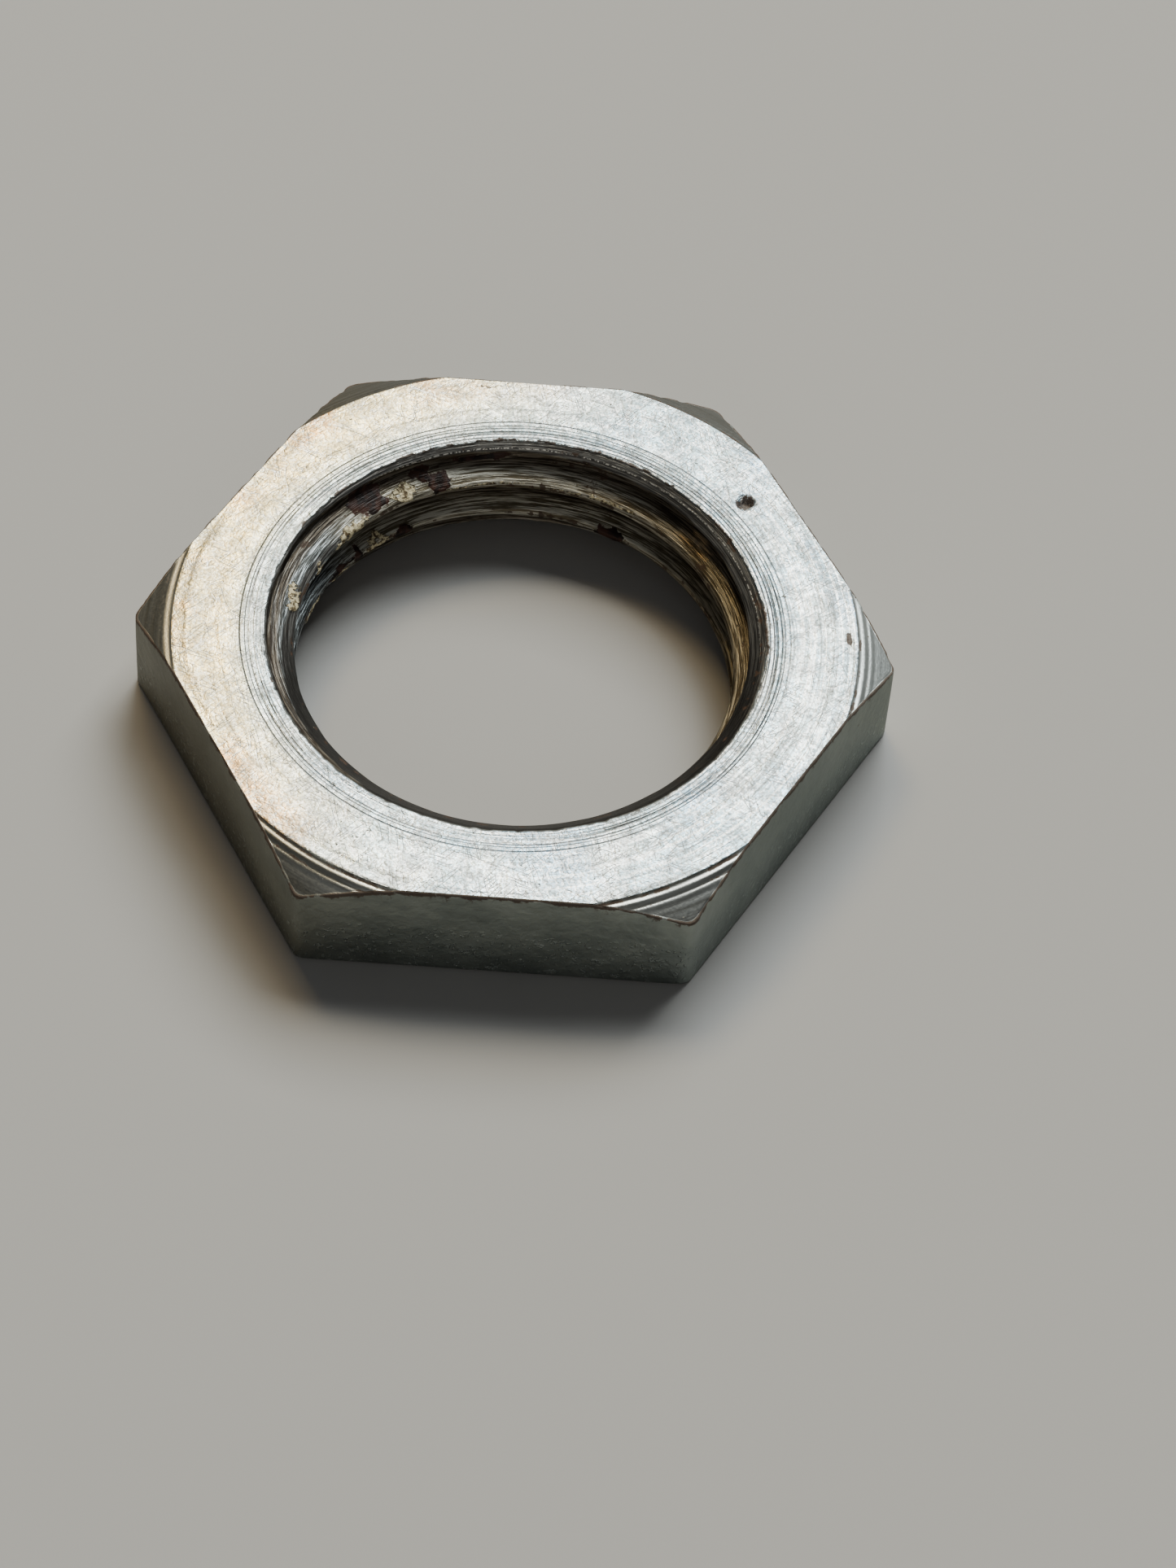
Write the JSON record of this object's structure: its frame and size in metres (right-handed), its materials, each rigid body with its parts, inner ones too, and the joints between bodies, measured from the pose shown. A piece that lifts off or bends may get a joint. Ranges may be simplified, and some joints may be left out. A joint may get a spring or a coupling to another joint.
{
  "type": "hex nut",
  "caption": "Thin hexagonal lock nut with one chamfered face and an internal right-hand parallel pipe thread.",
  "frame": {"origin": "centre of the plain bearing face, on the thread axis", "axes": "+Z along the thread axis towards the chamfered face, +X towards a corner, +Y square to a flat"},
  "size_m": [0.0322, 0.028, 0.0052],
  "materials": {
    "zinc_plated_steel": "bright zinc plate over turned and drawn steel, worn, with light staining in the thread"
  },
  "bodies": {
    "root": {"hex_nut": "zinc_plated_steel"}
  },
  "joints": []
}
